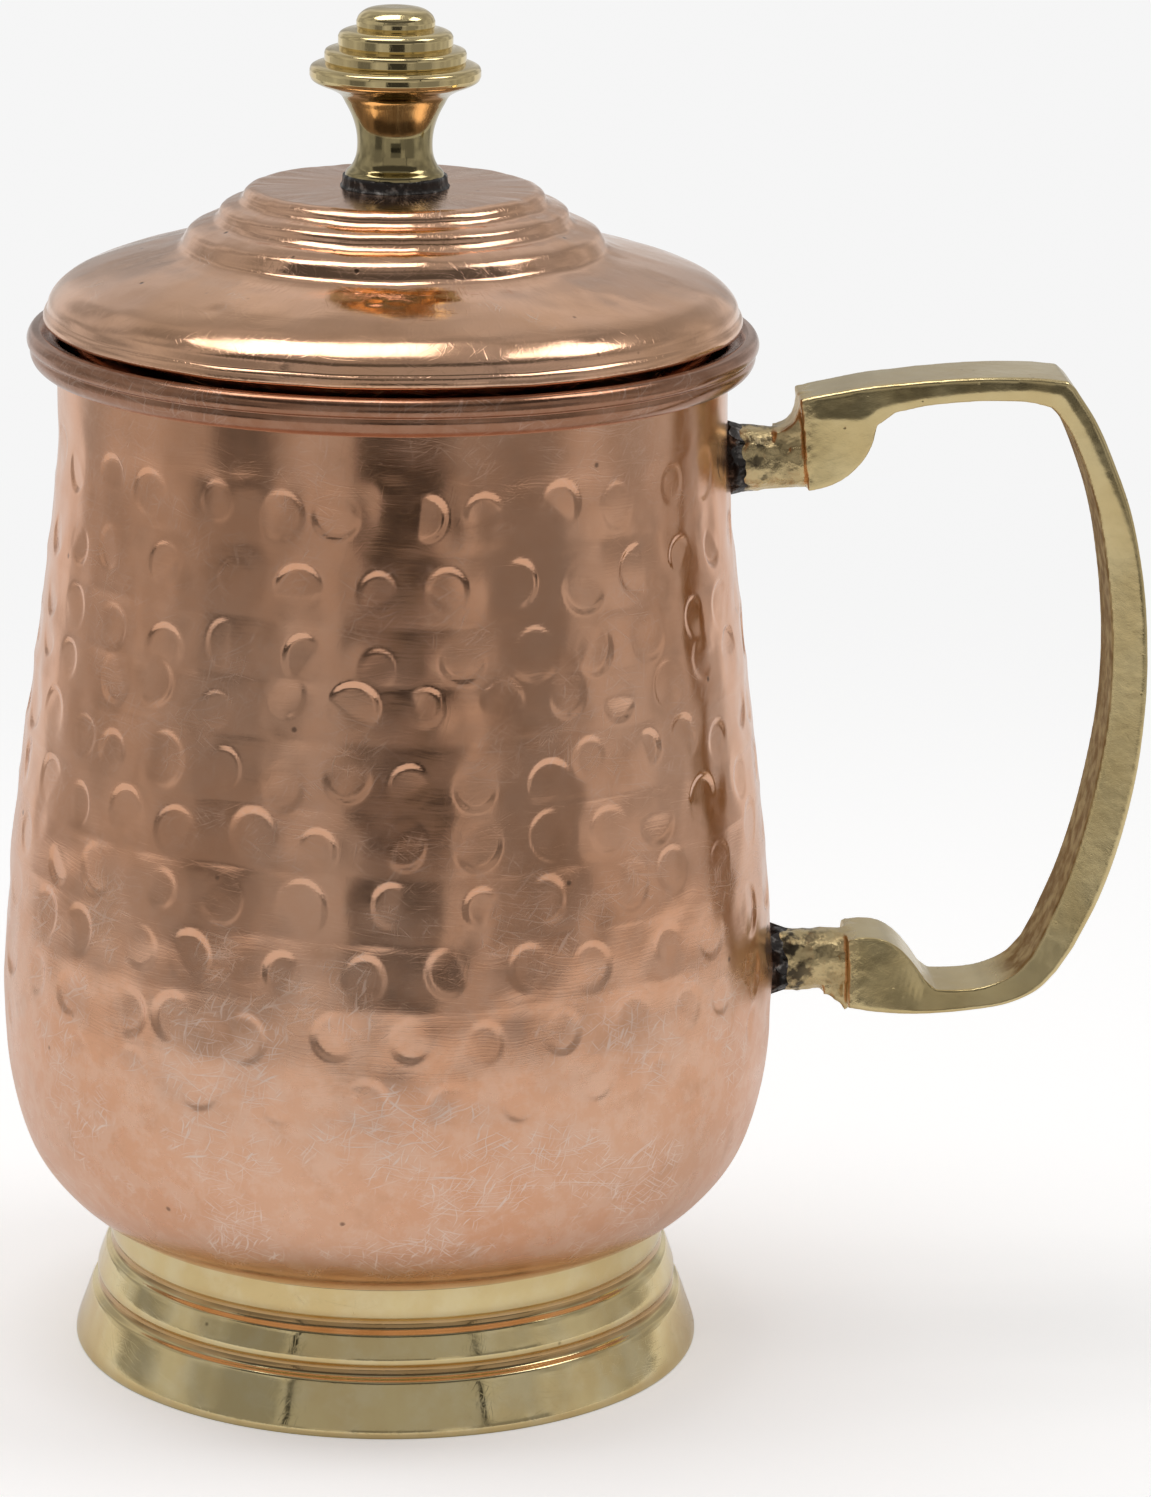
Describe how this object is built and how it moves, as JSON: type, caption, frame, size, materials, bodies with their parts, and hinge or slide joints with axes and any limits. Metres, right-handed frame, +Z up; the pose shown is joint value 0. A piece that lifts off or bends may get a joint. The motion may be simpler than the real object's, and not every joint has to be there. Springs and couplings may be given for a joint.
{
  "type": "copper water jug with lid",
  "caption": "Hammered copper water jug with a stepped brass foot, a cast brass handle soldered on at its stubs, and a lift-off stepped lid with a turned brass knob.",
  "frame": {"origin": "on the table, under the middle of the whole jug measured with its handle; the turned pieces share one upright axis 27 mm from it on the side away from the handle", "axes": "+Z up along the jug's axis, +X towards the handle, -Y the side seen with the handle on the right"},
  "size_m": [0.168, 0.114, 0.2],
  "materials": {
    "copper": "polished, planished by hammer on the body",
    "brass": "polished on the knob, brushed on the foot and handle",
    "solder": "dark and rough",
    "steel_wire": "drawn"
  },
  "bodies": {
    "jug": {"body_shell": "copper", "rim_wire": "steel_wire", "foot_ring": "brass", "foot_solder": "solder", "handle_casting": "brass", "handle_solder_upper": "solder", "handle_solder_lower": "solder", "handle_rove_upper": "brass", "handle_rove_lower": "brass"},
    "lid": {"lid_shell": "copper", "lid_collar": "copper", "lid_collar_solder": "solder", "knob": "brass", "knob_solder": "solder", "knob_rove": "brass"}
  },
  "joints": [
    {"name": "lid_lift", "type": "slide", "parent": "jug", "child": "lid", "axis": [0, 0, 1], "range_m": [0, 0.05]}
  ]
}
